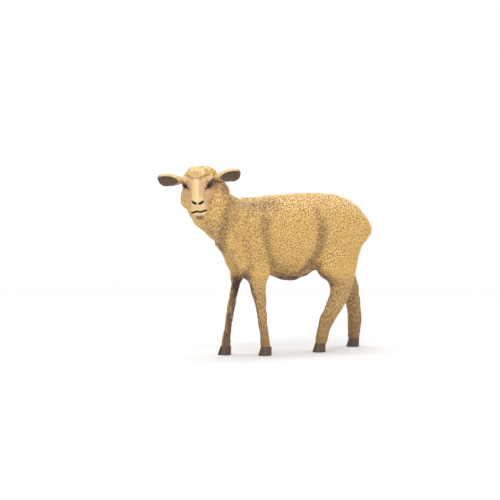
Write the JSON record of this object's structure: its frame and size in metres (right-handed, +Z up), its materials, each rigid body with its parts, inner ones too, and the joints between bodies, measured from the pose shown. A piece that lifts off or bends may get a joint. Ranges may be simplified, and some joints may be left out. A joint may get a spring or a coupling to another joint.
{
  "type": "toy sheep",
  "caption": "Moulded toy farm sheep standing in a walking pose with its head turned to its left; woolly trunk and neck, smooth face and slim bare legs.",
  "frame": {"origin": "centre of the figure's bounding box, on the floor that the soles stand on", "axes": "+X from the head towards the rump, +Y towards the animal's right side, +Z up"},
  "size_m": [0.1528, 0.0454, 0.1131],
  "materials": {
    "wool": "satin vinyl sculpted as tight wool curls, ochre with a brown wash in the hollows",
    "head": "satin vinyl, cream face with dark shading round the eyes, ochre wool",
    "ear": "satin vinyl, pale rim and dark brown inside",
    "leg": "satin vinyl, ochre with a fine brown stipple"
  },
  "bodies": {
    "root": {"torso_left": "wool", "torso_right": "wool", "head": "head", "left_ear": "ear", "right_ear": "ear", "left_foreleg": "leg", "right_foreleg": "leg", "left_hind_leg": "leg", "right_hind_leg": "leg", "tail": "wool"}
  },
  "joints": []
}
